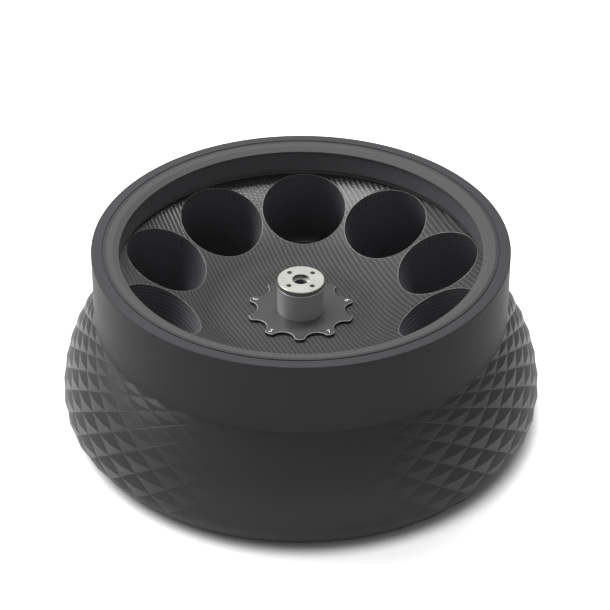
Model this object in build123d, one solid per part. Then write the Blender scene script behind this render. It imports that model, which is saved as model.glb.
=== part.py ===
"""Fixed angle rotor for ten one-litre bottles, in millimetres.

The frame stands on the floor: Z is the spin axis, z = 0 the underside, and one well lies along +Y.
"""

from build123d import *
import math
import os

# ---- driving dimensions -------------------------------------------------------------------
# Wells
well_count = 10
bottle_diameter = 98.0
bottle_clearance = 0.5          # all round between a bottle and its well
well_tilt = 22.0                # well axis from the spin axis, degrees
mouth_web = 2.9756              # deck left between two neighbouring mouths
well_depth = 134.0              # mouth centre to floor, along the well
well_wall = 2.4
well_floor = 6.0
well_corner_radius = 9.0        # where a well's wall meets its floor
well_sink = 0.8478              # lowest corner of a well, under the top of the plate's web

# Deck and collar
collar_foot_cover = 4.4          # collar outside the wells, at its lower edge
deck_slope = 25.0               # degrees from level
deck_fall = 32.8                # from the well circle to the level middle
deck_thickness = 14.0
deck_blend_radius = 60.0
rim_land_width = 17.2           # level top face of the rim
seat_width = 13.8               # seat for the lid, in two slopes
seat_drop = 4.4
seat_shelf_width = 7.3          # its outer, gentler part
seat_shelf_drop = 1.0
seat_lip_height = 3.5
lip_overhang = 2.0
ledge_rise = 29.1               # from the deck at the well circle to the ledge, under which the wall stands back
rim_rise = 30.8                 # from the ledge to the top of the rim
wall_undercut = 6.0             # from the seat's lip out to the deck's edge
rim_edge_radius = 1.6
rim_groove_width = 1.6
rim_groove_depth = 1.0
rim_groove_inset = 3.4          # from the inner edge of the land to the groove
collar_foot_fall = 26.6         # from the deck at the well circle to the collar's lower edge

# Skirt
skirt_cover = 10.7              # from the wells' outermost corners to the widest place
belly_height = 32.0             # height of the widest place
skirt_foot_thickness = 6.0
skirt_foot_width = 6.6
skirt_well_gap = 0.4            # between the skirt and the backs of the wells
relief_depth = 1.3
relief_around = 38              # diamonds in one turn
relief_turn = 2.13              # first crossing past +X, degrees
winding_lean = 70.5             # wound lines from upright at the collar, degrees
plain_half_angle = 22.0         # plain patch at the front, degrees from its middle
plain_blend_angle = 18.0

# Pressure plate
plate_web_thickness = 14.0
plate_rim_radius = 250.0        # where the slope under the wells ends in a level rim
pocket_depth = 2.0              # seat for the end of each well
bond_gap = 0.2                  # glue line between bonded pieces
seat_gap = 0.1                  # between faces that are clamped together

# Drive hub
hub_radius = 38.0
hub_flange_radius = 62.0
hub_flange_thickness = 10.0
hub_shoulder_radius = 50.0
hub_shoulder_thickness = 10.5
spindle_radius = 16.0
spindle_depth = 65.0
drive_pin_radius = 3.0
drive_pin_length = 24.0
drive_pin_circle_radius = 26.0
drive_pin_stand_out = 8.0       # free length in the relief around the spindle bore
drive_recess_radius = 32.0
drive_recess_depth = 10.0
hub_screw_count = 6
hub_screw_radius = 4.0
hub_screw_length = 14.0
hub_screw_head_radius = 6.5
hub_screw_head_height = 7.0
hub_screw_sink = 1.0            # head above the underside of the plate
hub_screw_key_radius = 2.4
hub_screw_key_depth = 3.0
hub_screw_circle_radius = 50.0

# Scalloped plate
lobe_count = 10
lobe_tip_radius = 61.5
lobe_valley_radius = 50.0
scallop_radius = 14.0
lobe_round = 4.5
scalloped_plate_thickness = 4.0
scalloped_plate_edge = 0.7

# Hub post and cap
post_radius = 27.0
post_height = 38.2              # above the middle of the deck
post_spigot_radius = 20.0
post_spigot_length = 40.0
post_edge = 1.2
cap_thickness = 6.0
cap_edge = 0.8
cap_hole_radius = 10.0
lid_thread_radius = 8.0         # M16, in the post
lid_thread_depth = 32.0
cap_screw_count = 4
cap_screw_circle_radius = 18.6
cap_screw_radius = 1.5
cap_screw_length = 9.0
cap_screw_head_radius = 2.75
cap_screw_head_height = 3.0
cap_screw_sink = 1.6            # head below the face of the cap
cap_screw_key_radius = 1.25
cap_screw_key_depth = 1.3
fastener_clearance = 0.25

# ---- sizes that follow --------------------------------------------------------------------
well_radius = bottle_diameter / 2 + bottle_clearance
well_circle_radius = (well_radius + mouth_web / 2) / math.sin(math.pi / well_count)
well_back_radius = well_radius + well_wall
tilt = math.radians(well_tilt)
slope = math.radians(deck_slope)
deck_drop = deck_thickness / math.cos(slope)
well_reach = well_depth + well_floor
deck_height = (                 # at the well circle
    plate_web_thickness
    - well_sink
    + well_reach * math.cos(tilt)
    + well_back_radius * math.sin(tilt)
)
deck_centre_height = deck_height - deck_fall
ledge_height = deck_height + ledge_rise
overall_height = ledge_height + rim_rise
collar_foot_height = deck_height - collar_foot_fall
scalloped_plate_top = deck_centre_height + scalloped_plate_thickness
post_top_height = deck_centre_height + post_height
cap_top_height = post_top_height + cap_thickness
well_step = 360 / well_count
first_well_angle = 90.0
well_end_radius = well_circle_radius + well_reach * math.sin(tilt)
well_end_height = deck_height - well_reach * math.cos(tilt)
well_corner_height = well_end_height + well_back_radius * math.sin(tilt)


def deck_z(radius):
    """Height of the sloping deck at a radius."""
    return deck_height + (radius - well_circle_radius) * math.tan(slope)


def deck_radius(z):
    """Radius at which the sloping deck has a height."""
    return well_circle_radius + (z - deck_height) / math.tan(slope)


def well_back(z):
    """Radius of the outermost line of a well's outer wall at a height."""
    top = deck_height + well_back_radius * math.sin(tilt)
    return well_circle_radius + well_back_radius * math.cos(tilt) + (top - z) * math.tan(tilt)


rim_radius = well_back(collar_foot_height) + collar_foot_cover
land_inner_radius = rim_radius - rim_land_width
seat_inner_radius = land_inner_radius - seat_width
seat_low_height = overall_height - seat_drop
deck_edge_radius = seat_inner_radius + wall_undercut
skirt_radius = well_back(well_corner_height) + skirt_cover
skirt_foot_radius = skirt_radius - belly_height
skirt_foot_inner_radius = skirt_foot_radius - skirt_foot_width


def revolved(*lines):
    """Solid turned about the spin axis from a closed outline of (radius, height) edges."""
    outline = make_face(Curve() + list(lines))
    return revolve(Plane.XZ * outline, Axis.Z)


def ring(inner, outer, low, high):
    """Plain turned ring."""
    body = Pos(0, 0, low) * Cylinder(outer, high - low, align=(Align.CENTER, Align.CENTER, Align.MIN))
    if inner <= 0:
        return body
    return body - Pos(0, 0, low) * Cylinder(
        inner, high - low, align=(Align.CENTER, Align.CENTER, Align.MIN)
    )


def bar(radius, low, high):
    """Plain round bar on the spin axis."""
    return ring(0, radius, low, high)


def well_place(index):
    """Location whose origin is a mouth's centre and whose Z points out of the well."""
    turned = Rot(0, 0, first_well_angle + index * well_step)
    return turned * Pos(well_circle_radius, 0, deck_height) * Rot(0, -well_tilt, 0)


def around(count, radius, start=0.0):
    """Places evenly round the spin axis."""
    return [Rot(0, 0, start + k * 360 / count) * Pos(radius, 0, 0) for k in range(count)]


# ---- collar, deck and wells -----------------------------------------------------------------
def above_deck_underside(gap=0.0):
    """Everything above the underside of the deck, or above a level under it by a gap."""
    flat = deck_centre_height - deck_thickness - gap
    corner = deck_radius(flat + deck_drop + gap / math.cos(slope) - gap)
    far = 2 * rim_radius
    edge = flat + (far - corner) * math.tan(slope)
    return revolved(
        Polyline((0, flat), (corner, flat), (far, edge), (far, far + edge), (0, far + edge), (0, flat))
    )


def deck():
    """Sloping plate with a level middle and ten holes for the mouths of the wells."""
    corner = deck_radius(deck_centre_height)
    tangent = deck_blend_radius * math.tan(slope / 2)
    blend_flat = (corner - tangent, deck_centre_height)
    blend_cone = (corner + tangent * math.cos(slope), deck_centre_height + tangent * math.sin(slope))
    edge = deck_edge_radius - bond_gap
    flat_under = deck_centre_height - deck_thickness
    under_corner = deck_radius(flat_under + deck_drop)
    hole = hub_radius + bond_gap
    plate = revolved(
        Line((hole, deck_centre_height), blend_flat),
        TangentArc(blend_flat, blend_cone, tangent=(1, 0)),
        Polyline(
            blend_cone,
            (edge, deck_z(edge)),
            (edge, deck_z(edge) - deck_drop),
            (under_corner, flat_under),
            (hole, flat_under),
            (hole, deck_centre_height),
        ),
    )
    bore = well_bore()
    return plate - [well_place(k) * bore for k in range(well_count)]


def collar():
    """Plain ring round the deck, with the lid's seat on top and a pocket for the back of each well."""
    upper = seat_inner_radius + lip_overhang
    lip_low = seat_low_height - seat_lip_height
    groove_inner = land_inner_radius + rim_groove_inset
    groove_outer = groove_inner + rim_groove_width
    groove_low = overall_height - rim_groove_depth
    round_start = (rim_radius - rim_edge_radius, overall_height)
    round_end = (rim_radius, overall_height - rim_edge_radius)
    ring_body = revolved(
        Polyline(
            (deck_edge_radius, collar_foot_height),
            (deck_edge_radius, ledge_height),
            (upper, ledge_height),
            (upper, lip_low),
            (seat_inner_radius, lip_low + lip_overhang),
            (seat_inner_radius, seat_low_height),
            (land_inner_radius - seat_shelf_width, overall_height - seat_shelf_drop),
            (land_inner_radius, overall_height),
            (groove_inner, overall_height),
            (groove_inner, groove_low),
            (groove_outer, groove_low),
            (groove_outer, overall_height),
            round_start,
        ),
        TangentArc(round_start, round_end, tangent=(1, 0)),
        Polyline(
            round_end,
            (rim_radius, collar_foot_height),
            (deck_edge_radius, collar_foot_height),
        ),
    )
    bore = well_bore()
    pocket = well_place(0) * well_outside(bond_gap) - above_deck_underside()
    ring_body -= [well_place(k) * bore for k in range(well_count)]
    return ring_body - [Rot(0, 0, k * well_step) * pocket for k in range(well_count)]


def well_outside(gap):
    """Room for one well, with a gap all round, from under its floor up to its mouth."""
    low = Pos(0, 0, -well_reach - seat_gap)
    return low * Cylinder(
        well_back_radius + gap,
        well_reach,
        align=(Align.CENTER, Align.CENTER, Align.MIN),
    )


def well_bore():
    """Room for one bottle, from the well's floor to clear above the rim."""
    low = Pos(0, 0, -well_depth)
    room = low * Cylinder(
        well_radius, well_depth + overall_height, align=(Align.CENTER, Align.CENTER, Align.MIN)
    )
    return fillet(room.edges().group_by(Axis.Z)[0], well_corner_radius)


def well():
    """One wound well, bonded under its hole in the deck, at the first place."""
    low = Pos(0, 0, -well_reach)
    tube = low * Cylinder(
        well_back_radius, well_reach, align=(Align.CENTER, Align.CENTER, Align.MIN)
    )
    tube = fillet(tube.edges().group_by(Axis.Z)[0], well_corner_radius)
    tube = well_place(0) * (tube - well_bore())
    return tube - above_deck_underside(seat_gap)


# ---- wound skirt --------------------------------------------------------------------------
flare_drop = collar_foot_height - belly_height
flare_growth = skirt_radius - rim_radius
flare_angle = 2 * math.atan2(flare_growth, flare_drop)
flare_radius = flare_drop / math.sin(flare_angle)
flare_length = flare_radius * flare_angle
skirt_length = flare_length + belly_height * math.pi / 2


def skirt_point(length):
    """Radius, height and outward direction at a length down the skirt from the collar."""
    if length < flare_length:
        angle = flare_angle - length / flare_radius
        radius = skirt_radius - flare_radius * (1 - math.cos(angle))
        height = belly_height + flare_radius * math.sin(angle)
    else:
        angle = -(length - flare_length) / belly_height
        radius = skirt_foot_radius + belly_height * math.cos(angle)
        height = belly_height * (1 + math.sin(angle))
    return radius, height, (math.cos(angle), math.sin(angle))


def winding_rings():
    """Lengths down the skirt at which the two families of wound lines cross."""
    half_pitch = math.pi / relief_around
    rings = [0.0]
    while rings[-1] < skirt_length:
        radius = skirt_point(rings[-1])[0]
        lean = math.asin(rim_radius * math.sin(math.radians(winding_lean)) / radius)
        rings.append(rings[-1] + radius * half_pitch / math.tan(lean))
    rings[-1] = skirt_length
    return rings


def relief_fade(angle):
    """0 on the plain patch at the front, rising to 1 beside it."""
    off_front = abs((angle + 90 + 180) % 360 - 180)
    share = min(max((off_front - plain_half_angle) / plain_blend_angle, 0), 1)
    return share * share * (3 - 2 * share)


def relief_grid():
    """Points of the outer face: ring by ring, with every crossing sunk below the diamonds."""
    rings = winding_rings()
    steps = 2 * relief_around
    grid = []
    for j, length in enumerate(rings):
        radius, height, (out, up) = skirt_point(length)
        edge = 0.0 if j in (0, len(rings) - 1) else 1.0
        row = []
        for i in range(steps):
            angle = relief_turn + i * 360 / steps
            crossing = (i + j) % 2 == 0
            sink = relief_depth * edge * relief_fade(angle) if crossing else 0.0
            turn = math.radians(angle)
            reach = radius - sink * out
            row.append((reach * math.cos(turn), reach * math.sin(turn), height - sink * up))
        grid.append(row)
    return grid


def triangle(a, b, c):
    return Face(Wire.make_polygon([a, b, c], close=True))


def relief_drum():
    """Solid drum whose side carries the diamond relief."""
    grid = relief_grid()
    steps = len(grid[0])
    faces = []
    for j in range(len(grid) - 1):
        for i in range(steps):
            k = (i + 1) % steps
            a, b = grid[j][i], grid[j][k]
            c, d = grid[j + 1][k], grid[j + 1][i]
            if (i + j) % 2 == 0:
                faces += [triangle(a, c, b), triangle(a, d, c)]
            else:
                faces += [triangle(a, d, b), triangle(b, d, c)]
    faces.append(Face(Wire.make_polygon(grid[0], close=True)))
    faces.append(Face(Wire.make_polygon(grid[-1], close=True)))
    return Solid(Shell(faces))


def skirt_cavity(gap=0.0):
    """Everything inside the skirt, or inside it by a gap."""
    inner_arc = belly_height - skirt_foot_thickness - gap
    foot = skirt_foot_inner_radius - gap
    centre = (skirt_foot_radius, belly_height)
    belly = (skirt_foot_radius + inner_arc, belly_height)
    arc_low = (skirt_foot_radius, belly_height - inner_arc)
    top = collar_foot_height - gap
    side_low = well_corner_height
    side = skirt_well_gap - gap
    return revolved(
        Polyline((0, top), (0, 0), (foot, 0), (foot, arc_low[1]), arc_low),
        CenterArc(centre, inner_arc, 270, 90),
        Polyline(
            belly,
            (well_back(side_low) + side, side_low),
            (well_back(top) + side, top),
            (0, top),
        ),
    )


def wound_skirt():
    """Fibre-wound shell under the collar, with a diamond relief."""
    return relief_drum() - skirt_cavity()


# ---- pressure plate -----------------------------------------------------------------------
def pressure_plate():
    """Bottom plate with a pocket for the end of each well."""
    rise = well_end_height + pocket_depth - plate_web_thickness
    web_radius = well_end_radius - rise / math.tan(tilt)
    rim_height = plate_web_thickness + (plate_rim_radius - web_radius) * math.tan(tilt)
    above = revolved(
        Polyline(
            (0, plate_web_thickness),
            (web_radius, plate_web_thickness),
            (plate_rim_radius, rim_height),
            (overall_height * 2, rim_height),
            (overall_height * 2, overall_height),
            (0, overall_height),
            (0, plate_web_thickness),
        )
    )
    plate = skirt_cavity(bond_gap) - above
    plate -= bar(hub_radius + bond_gap, 0, overall_height)
    pocket = well_outside(bond_gap)
    plate -= [well_place(k) * pocket for k in range(well_count)]
    head_top = hub_screw_sink + hub_screw_head_height + seat_gap
    head = bar(hub_screw_head_radius + fastener_clearance, 0, head_top)
    hole = bar(hub_screw_radius + fastener_clearance, 0, plate_web_thickness)
    for place in around(hub_screw_count, hub_screw_circle_radius):
        plate -= place * head
        plate -= place * hole
    return plate


# ---- hub ----------------------------------------------------------------------------------
def drive_hub():
    """Column between pressure plate and deck, bored for the drive spindle."""
    deck_under = deck_centre_height - deck_thickness - seat_gap
    flange_low = plate_web_thickness + seat_gap
    hub = bar(hub_radius, 0, deck_centre_height)
    hub += bar(hub_flange_radius, flange_low, flange_low + hub_flange_thickness)
    hub += bar(hub_shoulder_radius, deck_under - hub_shoulder_thickness, deck_under)
    hub -= bar(spindle_radius, 0, drive_recess_depth + spindle_depth)
    hub -= bar(drive_recess_radius, 0, drive_recess_depth)
    socket_low = deck_centre_height - post_spigot_length
    hub -= bar(post_spigot_radius + seat_gap, socket_low, deck_centre_height)
    for place in around(2, drive_pin_circle_radius, 90):
        hub -= place * bar(drive_pin_radius, 0, drive_pin_length)
    for place in around(hub_screw_count, hub_screw_circle_radius):
        hub -= place * bar(hub_screw_radius, flange_low, flange_low + hub_flange_thickness)
    return hub


def drive_pins():
    """Two pins that the spindle's driver turns the rotor by."""
    low = drive_recess_depth - drive_pin_stand_out
    pin = bar(drive_pin_radius - seat_gap / 2, low, drive_pin_length)
    return [place * pin for place in around(2, drive_pin_circle_radius, 90)]


def hub_screws():
    """Cap screws that hold the pressure plate to the drive hub's flange."""
    head_top = hub_screw_sink + hub_screw_head_height
    screw = bar(hub_screw_head_radius, hub_screw_sink, head_top)
    screw += bar(hub_screw_radius - seat_gap, head_top, head_top + hub_screw_length)
    screw -= bar(hub_screw_key_radius, hub_screw_sink, hub_screw_sink + hub_screw_key_depth)
    return [place * screw for place in around(hub_screw_count, hub_screw_circle_radius)]


# ---- scalloped plate, post and cap --------------------------------------------------------
def scalloped_plate():
    """Ten-lobed plate on the middle of the deck."""
    low = deck_centre_height
    high = low + scalloped_plate_thickness
    plate = bar(lobe_tip_radius, low, high)
    scallop = bar(scallop_radius, low, high)
    step = 360 / lobe_count
    between = first_well_angle + step / 2
    for place in around(lobe_count, lobe_valley_radius + scallop_radius, between):
        plate -= place * scallop
    plate = fillet(plate.edges().filter_by(Axis.Z), lobe_round)
    plate = chamfer(plate.edges().group_by(Axis.Z)[-1], scalloped_plate_edge)
    return plate - bar(post_spigot_radius + seat_gap, low, high)


def hub_post():
    """Anodised post on the scalloped plate, with a spigot into the drive hub."""
    low = scalloped_plate_top + seat_gap
    post = bar(post_radius, low, post_top_height)
    post = chamfer(post.edges().group_by(Axis.Z)[-1], post_edge)
    spigot_low = deck_centre_height - post_spigot_length + seat_gap
    post += bar(post_spigot_radius, spigot_low, low)
    post -= bar(lid_thread_radius, post_top_height - lid_thread_depth, post_top_height)
    screw_hole = bar(
        cap_screw_radius + seat_gap, post_top_height - cap_screw_length, post_top_height
    )
    for place in around(cap_screw_count, cap_screw_circle_radius, 45):
        post -= place * screw_hole
    return post


def hub_cap():
    """Bright disc that tops the post, open for the lid's screw."""
    low = post_top_height + seat_gap
    cap = bar(post_radius, low, cap_top_height)
    cap = chamfer(cap.edges().group_by(Axis.Z)[-1], cap_edge)
    cap -= bar(cap_hole_radius, low, cap_top_height)
    head_low = cap_top_height - cap_screw_sink - cap_screw_head_height - seat_gap
    for place in around(cap_screw_count, cap_screw_circle_radius, 45):
        cap -= place * bar(cap_screw_head_radius + fastener_clearance, head_low, cap_top_height)
        cap -= place * bar(cap_screw_radius + fastener_clearance, low, head_low)
    return cap


def cap_screws():
    """Four small cap screws, sunk in the disc."""
    head_high = cap_top_height - cap_screw_sink
    head_low = head_high - cap_screw_head_height
    screw = bar(cap_screw_head_radius, head_low, head_high)
    screw += bar(cap_screw_radius, head_low - cap_screw_length + seat_gap, head_low)
    screw -= bar(cap_screw_key_radius, head_high - cap_screw_key_depth, head_high)
    return [place * screw for place in around(cap_screw_count, cap_screw_circle_radius, 45)]


# ---- files --------------------------------------------------------------------------------
first_well = well()
parts = {
    "collar": collar(),
    "deck": deck(),
    "wound_skirt": wound_skirt(),
    "pressure_plate": pressure_plate(),
    "drive_hub": drive_hub(),
    "drive_pins": drive_pins(),
    "hub_screws": hub_screws(),
    "scalloped_plate": scalloped_plate(),
    "hub_post": hub_post(),
    "hub_cap": hub_cap(),
    "cap_screws": cap_screws(),
}

for k in range(well_count):
    parts[f"well_{k + 1}"] = Rot(0, 0, k * well_step) * first_well

os.makedirs("parts", exist_ok=True)
for name, shape in parts.items():
    whole = Compound(children=shape) if isinstance(shape, list) else shape
    export_step(whole, f"parts/{name}.step")
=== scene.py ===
import bpy
import bmesh
from math import radians, sin, cos, tan, pi, sqrt, atan2, asin
from mathutils import Vector, Matrix
from numpy import polyfit


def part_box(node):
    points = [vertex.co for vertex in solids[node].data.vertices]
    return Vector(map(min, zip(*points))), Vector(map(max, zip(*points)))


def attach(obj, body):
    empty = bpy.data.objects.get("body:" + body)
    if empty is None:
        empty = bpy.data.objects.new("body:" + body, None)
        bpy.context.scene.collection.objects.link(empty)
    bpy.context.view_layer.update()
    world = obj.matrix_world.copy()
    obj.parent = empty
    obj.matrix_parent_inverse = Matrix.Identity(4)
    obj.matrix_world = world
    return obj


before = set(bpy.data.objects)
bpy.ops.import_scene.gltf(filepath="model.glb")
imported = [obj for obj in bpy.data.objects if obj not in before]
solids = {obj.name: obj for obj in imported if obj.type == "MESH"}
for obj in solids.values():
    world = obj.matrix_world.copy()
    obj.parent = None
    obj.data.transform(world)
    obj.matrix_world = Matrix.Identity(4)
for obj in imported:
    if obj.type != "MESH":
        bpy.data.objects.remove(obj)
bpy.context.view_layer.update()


# a number inside a node tree: an expression on it adds its Math nodes
class Sock:
    def __init__(self, nodes, socket):
        self.nodes = nodes
        self.socket = socket

    def maths(self, operation, *others):
        values = dict(enumerate([self, *others]))
        return Sock(self.nodes, self.nodes.node("ShaderNodeMath", {"operation": operation}, values).outputs[0])

    def __add__(self, other): return self.maths("ADD", other)
    def __sub__(self, other): return self.maths("SUBTRACT", other)
    def __rsub__(self, other): return self * -1 + other
    def __mul__(self, other): return self.maths("MULTIPLY", other)
    def __truediv__(self, other): return self.maths("DIVIDE", other)
    def __gt__(self, other): return self.maths("GREATER_THAN", other)
    def __lt__(self, other): return self.maths("LESS_THAN", other)
    __radd__ = __add__
    __rmul__ = __mul__
    def sin(self): return self.maths("SINE")
    def cos(self): return self.maths("COSINE")
    def asin(self): return self.maths("ARCSINE")
    def abs(self): return self.maths("ABSOLUTE")
    def root(self): return self.maths("SQRT")
    def fract(self): return self.maths("FRACT")
    def lowest(self, other): return self.maths("MINIMUM", other)
    def highest(self, other): return self.maths("MAXIMUM", other)
    def waves(self): return (self * (2 * pi)).sin() * 0.5 + 0.5     # 0 to 1, one wave for each whole number

    def band(self, low, high):     # 0 below low, 1 above high, smooth between
        sockets = {"Value": self, "From Min": low, "From Max": high, "To Min": 0.0, "To Max": 1.0}
        made = self.nodes.node("ShaderNodeMapRange", {"interpolation_type": "SMOOTHSTEP"}, sockets)
        return Sock(self.nodes, made.outputs[0])


# the nodes of one tree
class Nodes:
    def __init__(self, tree):
        self.tree = tree
        tree.nodes.clear()

    def node(self, kind, settings, sockets):
        made = self.tree.nodes.new(kind)
        for key, value in settings.items():
            setattr(made, key, value)
        self.join(made, sockets)
        return made

    def join(self, made, sockets):
        for key, value in sockets.items():
            value = value.socket if isinstance(value, Sock) else value
            if isinstance(value, bpy.types.NodeSocket):
                self.tree.links.new(value, made.inputs[key])
            else:
                made.inputs[key].default_value = value

    def seen(self):     # 1 for the camera and for what metal and glass show, 0 for light
        path = self.node("ShaderNodeLightPath", {}, {})
        rays = [Sock(self, path.outputs[f"Is {kind} Ray"]) for kind in ("Camera", "Glossy", "Transmission")]
        return rays[0].highest(rays[1]).highest(rays[2])


# a material with one Principled shader
class Finish(Nodes):
    def __init__(self, name, sockets):
        self.material = bpy.data.materials.new(name)
        self.material.use_nodes = True
        super().__init__(self.material.node_tree)
        self.shader = self.node("ShaderNodeBsdfPrincipled", {}, sockets)
        self.node("ShaderNodeOutputMaterial", {}, {"Surface": self.shader.outputs[0]})
        self.where = self.node("ShaderNodeTexCoord", {}, {}).outputs["Object"]

    def place(self):     # x, y, z, distance from the spin axis, angle about it
        split = self.node("ShaderNodeSeparateXYZ", {}, {0: self.where})
        x, y, z = [Sock(self, split.outputs[k]) for k in range(3)]
        return x, y, z, (x * x + y * y).root(), y.maths("ARCTAN2", x)

    def noise(self, scale, detail=3.0, rough=0.6, stretch=(1, 1, 1)):
        turned = self.node("ShaderNodeMapping", {}, {0: self.where, "Scale": stretch})
        sockets = {"Vector": turned.outputs[0], "Scale": scale, "Detail": detail, "Roughness": rough}
        return Sock(self, self.node("ShaderNodeTexNoise", {}, sockets).outputs["Fac"])

    def blend(self, factor, first, second):
        return self.node("ShaderNodeMix", {"data_type": "RGBA"}, {0: factor, 6: first, 7: second}).outputs[2]

    def paint(self, tone, rough, height, distance, strength=1.0, normal=None):
        sockets = {"Height": height, "Distance": distance, "Strength": strength}
        if normal:
            sockets["Normal"] = normal
        bump = self.node("ShaderNodeBump", {}, sockets)
        self.join(self.shader, {"Base Color": tone, "Roughness": rough, "Normal": bump.outputs[0]})


def grey(level, tint=(1, 1, 1)):
    return (level * tint[0], level * tint[1], level * tint[2], 1)


def ends(look):     # its darkest and its lightest colour
    return grey(look["dark"], look["tint"]), grey(look["light"], look["tint"])


# one finish for each of these solids
def dress(names, finish):
    for name in names:
        mesh = solids[name].data
        mesh.materials.clear()
        mesh.materials.append(finish.material)


# a mesh that already stands in its place, as a piece of the rotor
def addPiece(name, mesh, finish, smooth=True):
    piece = bpy.data.objects.new(name, mesh)
    bpy.context.scene.collection.objects.link(piece)
    mesh.materials.clear()
    mesh.materials.append(finish.material)
    if smooth:
        mesh.shade_smooth()
    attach(piece, "root")


# where the wells stand
wells = {
    "count": 10,
    "first": radians(90),          # angle of the first well about the spin axis
    "tilt": radians(22),
    "radius": 0.0495,
    "skin": 0.0007,                # outside that radius, still dressed as the well's wall
    "circle": 0.165,               # spin axis to the middle of a mouth
    "height": 0.1624,              # of the deck at that circle
    "deckSlope": radians(25),
}


# distance from the axis of the nearest well, and height along that axis above the deck
def wellPlace(z, reach, angle):
    step = 2 * pi / wells["count"]
    turn = (((angle - wells["first"]) * (1 / step) + 0.5).fract() - 0.5) * step
    outward, side, up = reach * turn.cos() - wells["circle"], reach * turn.sin(), z - wells["height"]
    sine, cosine = sin(wells["tilt"]), cos(wells["tilt"])
    across = outward * cosine + up * sine
    return (across * across + side * side).root(), up * cosine - outward * sine


def insideWell(off):
    return off < wells["radius"] + wells["skin"]


# wrapped walls of the wells, ribbed along level rings round each well; their tones are lifted above the
# composite's own as painted light in the shaded wells
wrap = {
    "dark": 0.100,
    "light": 0.165,
    "tint": (1.0, 0.96, 1.04),
    "pitch": 0.0046,               # from rib to rib
    "wander": 0.9,                 # how far the ribs stray, in ribs
    "wanderScale": 11.0,
    "cloudScale": 16.0,
    "gloss": 0.30,
    "rough": 0.40,
    "ribRough": 0.06,              # added on a rib
    "depth": 0.00020,
    "strength": 0.8,
}


def wrapLook(finish, depth):     # ribs from 0 to 1, and their colour, lifted as painted light
    ribs = (depth * (1 / wrap["pitch"]) + finish.noise(wrap["wanderScale"], 2.0) * wrap["wander"]).waves()
    return ribs, finish.blend(ribs * 0.6 + finish.noise(wrap["cloudScale"], 3.0) * 0.4, *ends(wrap))


def wrapFinish():
    finish = Finish("wrapped composite", {"Specular IOR Level": wrap["gloss"]})
    depth = wellPlace(*finish.place()[2:])[1]
    ribs, tone = wrapLook(finish, depth)
    finish.paint(tone, wrap["rough"] + ribs * wrap["ribRough"], ribs, wrap["depth"], wrap["strength"])
    return finish


# the plain moulded rim
collar = {
    "dark": 0.045,
    "light": 0.056,
    "tint": (1.0, 0.97, 1.03),
    "gloss": 0.04,
    "rough": 0.42,
    "cloudScale": 14.0,
    "grainScale": 420.0,
    "turning": 0.0011,             # pitch of the fine turned lines on level faces
    "depth": 0.00004,              # of the lines and the grain
    "strength": 0.6,
    "seat": 0.076,                 # lighter tone of the lid's seat
    "seatEdge": 0.2189,            # the seat's outer edge
    "seatFoot": 0.2176,            # and its lowest height
    "wall": 0.120,                 # tone of the inner wall above the deck, lifted as painted light in its shade
}


def collarFinish():
    finish = Finish("smooth moulded composite", {"Specular IOR Level": collar["gloss"]})
    z, reach, angle = finish.place()[2:]
    cloud = finish.noise(collar["cloudScale"], 4.0)
    grain = finish.noise(collar["grainScale"], 2.0)
    tone = finish.blend(cloud * 0.6 + grain * 0.4, *ends(collar))
    inside = reach < collar["seatEdge"]
    seat = inside * (z > collar["seatFoot"])
    wall = inside * (1 - seat)
    tone = finish.blend(seat, tone, grey(collar["seat"]))
    # painted light: the shaded inner wall is toned lighter than the rest of the collar
    tone = finish.blend(wall, tone, grey(collar["wall"], collar["tint"]))
    off, depth = wellPlace(z, reach, angle)
    tone = finish.blend(insideWell(off) * wall, tone, wrapLook(finish, depth)[1])
    turned = (reach * (1 / collar["turning"])).waves()
    rough = collar["rough"] + cloud * 0.08 - turned * 0.03
    finish.paint(tone, rough, turned * 0.35 + grain * 0.65, collar["depth"], collar["strength"])
    return finish


# woven cloth on the deck and on the plate below
twill = {
    "dark": 0.014,
    "light": 0.060,
    "tint": (1.0, 0.98, 0.96),
    "pitch": 0.0052,               # from rib to rib
    "float": 0.0040,               # length of one stitch along a rib
    "lean": radians(26),           # of the ribs, from the Y axis
    "wander": 1.0,                 # how far the ribs stray, in ribs
    "wanderScale": 9.0,
    "cloudScale": 12.0,
    "gloss": 0.27,
    "rough": 0.26,
    "middleRough": 0.62,           # duller towards the middle
    "middle": (0.10, 0.19),        # from where to where it changes
    "depth": 0.00020,
    "strength": 0.8,
}


def twillFinish():
    finish = Finish("woven composite", {"Specular IOR Level": twill["gloss"]})
    x, y, z, reach, angle = finish.place()
    sine, cosine = sin(twill["lean"]), cos(twill["lean"])
    wander = finish.noise(twill["wanderScale"], 2.0) * twill["wander"]
    across = (x * cosine + y * sine) * (1 / twill["pitch"]) + wander
    along = (y * cosine - x * sine) * (1 / twill["float"])
    cloud = finish.noise(twill["cloudScale"], 4.0)
    weave = across.waves() * ((along + across * 0.5).waves() * 0.3 + 0.7)
    off, depth = wellPlace(z, reach, angle)
    inWell = insideWell(off)
    ribs, wall = wrapLook(finish, depth)
    tone = finish.blend(weave * (cloud * 0.6 + 0.5), *ends(twill))
    tone = finish.blend(inWell, tone, wall)
    height = weave * (twill["depth"] * 1000) * (1 - inWell) + ribs * (wrap["depth"] * 1000) * inWell
    dull = reach.band(*twill["middle"]) * (twill["rough"] - twill["middleRough"]) + twill["middleRough"]
    finish.paint(tone, dull - weave * 0.08 + cloud * 0.06, height, 0.001, twill["strength"])
    return finish


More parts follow.
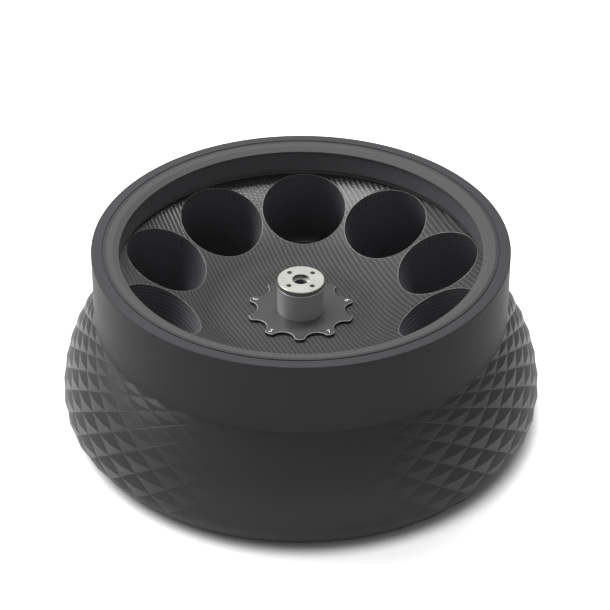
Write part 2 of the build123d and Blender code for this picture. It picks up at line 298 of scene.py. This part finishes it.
# the wound shell: diamonds between crossing bands, each folded along its level diagonal
skirt = {
    "dark": 0.033,
    "light": 0.046,
    "edge": 0.120,                 # painted highlight: a thin light line along the edge of a band
    "edgeRings": (3.0, 8.0),       # the painted highlight fades over these rings
    "highlightLoss": 0.8,             # and loses this share
    "tint": (1.0, 0.98, 1.01),
    "gloss": 0.15,
    "rough": 0.34,
    "cloudScale": 10.0,
    "grainScale": 160.0,
    "grainDepth": 0.00003,
    "radius": 0.2763,              # at the widest place
    "bellyHeight": 0.032,          # of the widest place
    "collarRadius": 0.2361,        # at the collar's foot
    "collarFoot": 0.1358,          # its height
    "skin": 0.004,                 # depth under the outer face that is shaded as that face
    "around": 38,                  # diamonds in one turn
    "turn": radians(2.13),         # of the first crossing
    "lean": radians(70.5),         # wound lines from upright at the collar
    "plainHalf": radians(14),      # plain patch at the front
    "plainBlend": radians(32),
    "plainRings": (7.5, 12.5),     # the diamonds die out over these rings, down to the base
    "fold": radians(18),           # how far each half of a diamond leans up or down
    "fibres": 12,                  # lines across one band
    "fibreDepth": 0.00004,
    "seamWidth": 0.07,             # of the line between bands, in bands
    "seamDepth": 0.00030,
}


# radius, turn and length of the arc from the collar down to the widest place
def flareArc():
    drop = skirt["collarFoot"] - skirt["bellyHeight"]
    turn = 2 * atan2(skirt["radius"] - skirt["collarRadius"], drop)
    return drop / sin(turn), turn, drop / sin(turn) * turn


# factors of the polynomial that counts the rings of crossings from a length down the skirt
def ringFactors():
    arc, turn, length = flareArc()
    downs = [0.0]
    while downs[-1] < length + skirt["bellyHeight"] * pi / 2:
        down = downs[-1]
        past = (down - length) / skirt["bellyHeight"]
        drawnIn = arc * (1 - cos(turn - down / arc)) if past < 0 else skirt["bellyHeight"] * (1 - cos(past))
        reach = skirt["radius"] - drawnIn
        lean = asin(skirt["collarRadius"] * sin(skirt["lean"]) / reach)
        downs.append(down + reach * pi / skirt["around"] / tan(lean))
    return [float(factor) for factor in polyfit(downs[:-1], range(len(downs) - 1), 5)]


def woundFinish():
    finish = Finish("wound composite", {"Specular IOR Level": skirt["gloss"]})
    x, y, z, reach, angle = finish.place()
    arc, turn, length = flareArc()
    belly = skirt["bellyHeight"]
    above = z > belly
    below = 1 - above
    # how far the outer face leans back, and the way down it from the collar
    lean = ((z - belly) * (1 / arc)).asin() * above + ((z - belly) * (0.999 / belly)).asin() * below
    down = (turn - lean) * arc * above + (length - lean * belly) * below
    ring = down * 0
    for factor in ringFactors():
        ring = ring * down + factor
    column = (angle - skirt["turn"]) * (skirt["around"] / pi)
    first, second = (column + ring) * 0.5, (column - ring) * 0.5
    upper = first.fract() < second.fract()
    offFront = (angle + pi / 2).abs().lowest((angle - 3 * pi / 2).abs())
    fade = offFront.band(skirt["plainHalf"], skirt["plainHalf"] + skirt["plainBlend"])
    fade = fade * (1 - ring.band(*skirt["plainRings"]))
    # each half of a diamond leans on its own
    leaning = lean + (upper * 2 - 1) * fade * skirt["fold"]
    level = leaning.cos() / reach
    facing = finish.node("ShaderNodeCombineXYZ", {}, {0: x * level, 1: y * level, 2: leaning.sin()})
    bend = above * arc + below * belly
    outer = reach > (lean.cos() * bend - bend + (skirt["radius"] - skirt["skin"]))
    own = finish.node("ShaderNodeNewGeometry", {}, {}).outputs["Normal"]
    choice = {0: outer, 4: own, 5: facing.outputs[0]}
    normal = finish.node("ShaderNodeMix", {"data_type": "VECTOR"}, choice).outputs[1]
    seam = first.maths("PINGPONG", 0.5).lowest(second.maths("PINGPONG", 0.5)) * 2
    seam = (1 - seam.band(0, skirt["seamWidth"])) * fade * fade
    fibres = (first * skirt["fibres"]).waves() * upper + (second * skirt["fibres"]).waves() * (1 - upper)
    cloud = finish.noise(skirt["cloudScale"], 4.0)
    grain = finish.noise(skirt["grainScale"], 3.0, 0.7, (1, 1, 3))
    tone = finish.blend(cloud * 0.5 + grain * 0.5, *ends(skirt))
    # painted highlight along the seams between bands, fading down the skirt and towards the front
    highlightShare = 1 - ring.band(*skirt["edgeRings"]) * skirt["highlightLoss"]
    tone = finish.blend(seam * highlightShare, tone, grey(skirt["edge"], skirt["tint"]))
    height = fibres * (fade * skirt["fibreDepth"]) + grain * skirt["grainDepth"] - seam * skirt["seamDepth"]
    finish.paint(tone, skirt["rough"] + grain * 0.08, height, 1.0, 1.0, normal)
    return finish


# the metal pieces in the middle
metal = {
    "plate": 0.026,                # black anodised
    "post": 0.62,                  # grey satin
    "cap": [(0.38, 0.38, 0.3572, 1), (0.48, 0.48, 0.456, 1)],     # bright turned face
    "steel": (0.10, 0.17),
    "chamferHighlight": 0.32,                  # painted highlight along the chamfers
    "chamfer": (0.3, 0.95),        # a face is one if its normal's rise is between these
    "bore": 0.02,                  # painted shade inside the threaded bore
    "boreRadius": 0.0083,
    "turning": 0.0009,             # pitch of the turned lines
    "depth": 0.00003,              # of those lines
    "streakScale": 900.0,
    "streaks": (1, 1, 0.02),       # long along the post
    "cloudScale": 25.0,
    "capCloudScale": 60.0,
    "steelCloudScale": 300.0,
}


def anodisedFinish(name, level, metallic, rough):
    finish = Finish(name, {"Metallic": metallic, "Specular IOR Level": 0.5})
    z, reach = finish.place()[2:4]
    streaks = finish.noise(metal["streakScale"], 2.0, 0.5, metal["streaks"])
    lines = (z * (1 / metal["turning"])).waves()
    own = finish.node("ShaderNodeNewGeometry", {}, {}).outputs["Normal"]
    up = Sock(finish, finish.node("ShaderNodeSeparateXYZ", {}, {0: own}).outputs[2])
    chamferHighlight = (up > metal["chamfer"][0]) * (up < metal["chamfer"][1])
    tone = finish.blend(finish.noise(metal["cloudScale"]), grey(level * 0.85), grey(level * 1.2))
    # painted highlight on the chamfer faces
    tone = finish.blend(chamferHighlight, tone, grey(metal["chamferHighlight"]))
    # painted shade inside the bore
    tone = finish.blend(reach < metal["boreRadius"], tone, grey(metal["bore"]))
    finish.paint(tone, rough + streaks * 0.12, lines, metal["depth"], 0.35)
    return finish


def turnedFinish():
    finish = Finish("bright turned metal", {"Metallic": 0.9})
    reach = finish.place()[3]
    lines = (reach * (1 / metal["turning"])).waves()
    cloud = finish.noise(metal["capCloudScale"])
    tone = finish.blend(lines * 0.5 + cloud * 0.5, *metal["cap"])
    finish.paint(tone, 0.30 + cloud * 0.12, lines, metal["depth"], 0.4)
    return finish


def steelFinish():
    finish = Finish("screw steel", {"Metallic": 1.0})
    cloud = finish.noise(metal["steelCloudScale"], 2.0)
    tone = finish.blend(cloud, *[grey(level) for level in metal["steel"]])
    finish.paint(tone, 0.3 + cloud * 0.2, cloud, 0.00002, 0.5)
    return finish


# a small piece of one plain colour, a little cloudy
def plainFinish(name, tones, scale, rough):
    finish = Finish(name, {"Specular IOR Level": 0.5})
    cloud = finish.noise(scale)
    finish.paint(finish.blend(cloud, *[grey(level) for level in tones]), rough + cloud * 0.1, cloud, 0.00001)
    return finish


post = anodisedFinish("grey anodised metal", metal["post"], 0.6, 0.32)
dress(["collar"], collarFinish())
dress(["deck", "pressure_plate"], twillFinish())
dress([f"well_{k + 1}" for k in range(wells["count"])], wrapFinish())
dress(["wound_skirt"], woundFinish())
dress(["scalloped_plate"], anodisedFinish("black anodised metal", metal["plate"], 0.0, 0.34))
dress(["hub_post", "drive_hub"], post)
dress(["hub_cap"], turnedFinish())
dress(["cap_screws", "hub_screws", "drive_pins"], steelFinish())
print("finishes on the", len(solids), "solids")


# a thin edge at each mouth, a real lip toned light as a painted highlight: a ring spun round the well and slid
# along it on to the deck
mouthEdge = {
    "thickness": 0.00045,
    "sides": 8,
    "steps": 120,                  # round the well
    "slides": 6,                   # rounds of sliding, until the ring lies on the cone
    # light tones of the lip, a painted highlight
    "tones": (0.10, 0.17),
    "rough": 0.24,
}


def addMouthEdge(name, turn, finish):
    tilt, slope = wells["tilt"], tan(wells["deckSlope"])
    upright = Matrix.Translation((wells["radius"], 0, 0)) @ Matrix.Rotation(pi / 2, 4, "X")
    shape = bmesh.new()
    bmesh.ops.create_circle(shape, segments=mouthEdge["sides"], radius=mouthEdge["thickness"], matrix=upright)
    bmesh.ops.spin(shape, geom=shape.verts[:] + shape.edges[:], axis=(0, 0, 1), cent=(0, 0, 0),
                   angle=2 * pi, steps=mouthEdge["steps"], use_merge=True)
    for corner in shape.verts:
        around = atan2(corner.co.y, corner.co.x)
        outward, side = wells["radius"] * cos(around), wells["radius"] * sin(around)
        rise = 0.0
        for k in range(mouthEdge["slides"]):
            reach = sqrt((wells["circle"] + outward * cos(tilt) - rise * sin(tilt)) ** 2 + side ** 2)
            rise = ((reach - wells["circle"]) * slope - outward * sin(tilt)) / cos(tilt)
        corner.co.z += rise
    mouth = Matrix.Translation((wells["circle"], 0, wells["height"])) @ Matrix.Rotation(-tilt, 4, "Y")
    bmesh.ops.transform(shape, matrix=Matrix.Rotation(turn, 4, "Z") @ mouth, verts=shape.verts)
    bmesh.ops.recalc_face_normals(shape, faces=shape.faces)
    mesh = bpy.data.meshes.new(name)
    shape.to_mesh(mesh)
    shape.free()
    addPiece(name, mesh, finish)


edgeFinish = plainFinish("glossy lip with painted highlight", mouthEdge["tones"], 40.0, mouthEdge["rough"])
for k in range(wells["count"]):
    addMouthEdge(f"mouth_edge_{k + 1}", wells["first"] + 2 * pi * k / wells["count"], edgeFinish)
print("mouth edges")


# the thread for the lid's screw, inside the post
thread = {
    "radius": 0.008,
    "bite": 0.0001,                # of the ridge's foot into the post
    "ridge": 0.0009,               # height
    "foot": 0.0009,                # half width at the wall
    "crest": 0.00012,              # half width at the top
    "pitch": 0.002,
    "turns": 15,
    "steps": 32,                   # in one turn
    "top": 0.1667,
}


def addThread():
    shape = bmesh.new()
    outer, inner = thread["radius"] + thread["bite"], thread["radius"] - thread["ridge"]
    foot, crest = thread["foot"], thread["crest"]
    corners = [(outer, 0, foot), (inner, 0, crest), (inner, 0, -crest), (outer, 0, -foot)]
    profile = shape.faces.new([shape.verts.new(corner) for corner in corners])
    bmesh.ops.spin(shape, geom=[profile], axis=(0, 0, 1), cent=(0, 0, 0),
                   dvec=(0, 0, -thread["pitch"] / thread["steps"]),
                   angle=2 * pi * thread["turns"], steps=thread["turns"] * thread["steps"])
    bmesh.ops.translate(shape, vec=(0, 0, thread["top"]), verts=shape.verts)
    bmesh.ops.recalc_face_normals(shape, faces=shape.faces)
    mesh = bpy.data.meshes.new("lid_thread")
    shape.to_mesh(mesh)
    shape.free()
    addPiece("lid_thread", mesh, post, smooth=False)


addThread()
print("lid thread")


# plain place numbers on the lobes of the scalloped plate
marks = {
    "count": 5,                    # on every second lobe
    "size": 0.00868,               # of the font, whose figures are 0.7 of it high
    "radius": 0.0560,              # spin axis to the middle of a number
    "lift": 0.00015,
    "thickness": 0.0001,
    "tones": (0.62, 0.75),
    "rough": 0.55,
}


def addNumber(text, angle, finish):
    curve = bpy.data.curves.new("mark", "FONT")
    curve.body = text
    curve.size = marks["size"]
    curve.align_x = "CENTER"
    curve.align_y = "CENTER"
    curve.extrude = marks["thickness"] / 2
    holder = bpy.data.objects.new("mark", curve)
    bpy.context.scene.collection.objects.link(holder)
    bpy.context.view_layer.update()
    mesh = bpy.data.meshes.new_from_object(holder)
    bpy.data.objects.remove(holder)
    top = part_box("scalloped_plate")[1].z + marks["lift"]
    onLobe = Matrix.Translation((marks["radius"], 0, top)) @ Matrix.Rotation(pi / 2, 4, "Z")
    mesh.transform(Matrix.Rotation(angle, 4, "Z") @ onLobe)
    addPiece(f"place_number_{text}", mesh, finish, smooth=False)


printFinish = plainFinish("white print", marks["tones"], 400.0, marks["rough"])
for k in range(marks["count"]):
    addNumber(str(2 * k + 1), wells["first"] + 2 * pi * k / marks["count"], printFinish)
print("place numbers")


# the floor, the world and the two softboxes
studio = {
    "floorHalf": 12,
    "floorTone": 0.80,
    "floorGlow": 0.70,             # seen by the camera, outside the painted contact shadow
    "shadowPlace": (0.006, -0.008),
    "shadow": (0.252, 0.279),      # painted contact shadow: from where to where the glow comes up
    "fill": 0.34,                  # light of the world on the rotor
    "fillTint": (0.98, 0.99, 1.0),
    "aim": (0, 0, 0.1),            # of both softboxes
}
softboxes = {
    "top softbox": {"place": (-0.20, 0.54, 1.85), "size": (1.7, 0.40), "power": 37},
    "left softbox": {"place": (-1.35, 0.45, 1.50), "size": (1.3, 0.60), "power": 24},
}


def addFloor():
    mesh = bpy.data.meshes.new("floor")
    shape = bmesh.new()
    bmesh.ops.create_grid(shape, x_segments=1, y_segments=1, size=studio["floorHalf"])
    shape.to_mesh(mesh)
    shape.free()
    floor = bpy.data.objects.new("floor", mesh)
    bpy.context.scene.collection.objects.link(floor)
    finish = Finish("pale floor", {})
    x, y = finish.place()[:2]
    side, ahead = x - studio["shadowPlace"][0], y - studio["shadowPlace"][1]
    reach = (side * side + ahead * ahead).root()
    # the glow is held back in a ring round the rotor: a painted contact shadow
    glow = finish.seen() * reach.band(*studio["shadow"]) * studio["floorGlow"]
    pale = finish.blend(finish.noise(3.0), grey(studio["floorTone"] - 0.01), grey(studio["floorTone"] + 0.01))
    finish.join(finish.shader, {"Base Color": pale, "Roughness": 0.9, "Specular IOR Level": 0.0,
                                "Emission Color": grey(1), "Emission Strength": glow})
    mesh.materials.append(finish.material)


def addWorld():
    world = bpy.data.worlds.new("studio")
    bpy.context.scene.world = world
    world.use_nodes = True
    nodes = Nodes(world.node_tree)
    fill = nodes.node("ShaderNodeBackground", {}, {0: grey(1, studio["fillTint"]), 1: studio["fill"]})
    plain = nodes.node("ShaderNodeBackground", {}, {0: grey(1), 1: 1.0})
    both = nodes.node("ShaderNodeMixShader", {}, {0: nodes.seen(), 1: fill.outputs[0], 2: plain.outputs[0]})
    nodes.node("ShaderNodeOutputWorld", {}, {0: both.outputs[0]})


def addSoftbox(name, place, size, power):
    data = bpy.data.lights.new(name, "AREA")
    data.shape = "RECTANGLE"
    data.size, data.size_y = size
    data.energy = power
    lamp = bpy.data.objects.new(name, data)
    bpy.context.scene.collection.objects.link(lamp)
    lamp.location = place
    lamp.rotation_euler = (Vector(studio["aim"]) - lamp.location).to_track_quat("-Z", "Y").to_euler()


# the camera's place and lens
view = {
    "elevation": radians(34.92),
    "azimuth": radians(-88.725),
    "distance": 2.883,
    "target": (0, 0, 0.138),
    "sensor": 36,
    "lens": 148.66,
    "shift": 0.00672,              # sideways, as a share of the picture's width
}


def addCamera():
    data = bpy.data.cameras.new("camera")
    data.sensor_width = view["sensor"]
    data.lens = view["lens"]
    data.shift_x = view["shift"]
    data.clip_end = 50
    camera = bpy.data.objects.new("camera", data)
    bpy.context.scene.collection.objects.link(camera)
    target, rise, turn = Vector(view["target"]), view["elevation"], view["azimuth"]
    away = Vector((cos(rise) * cos(turn), cos(rise) * sin(turn), sin(rise)))
    camera.location = target + view["distance"] * away
    camera.rotation_euler = (target - camera.location).to_track_quat("-Z", "Y").to_euler()
    bpy.context.scene.camera = camera


addFloor()
addWorld()
for name, softbox in softboxes.items():
    addSoftbox(name, **softbox)
addCamera()
bpy.context.scene.view_settings.view_transform = "Standard"
print("floor, light and camera")
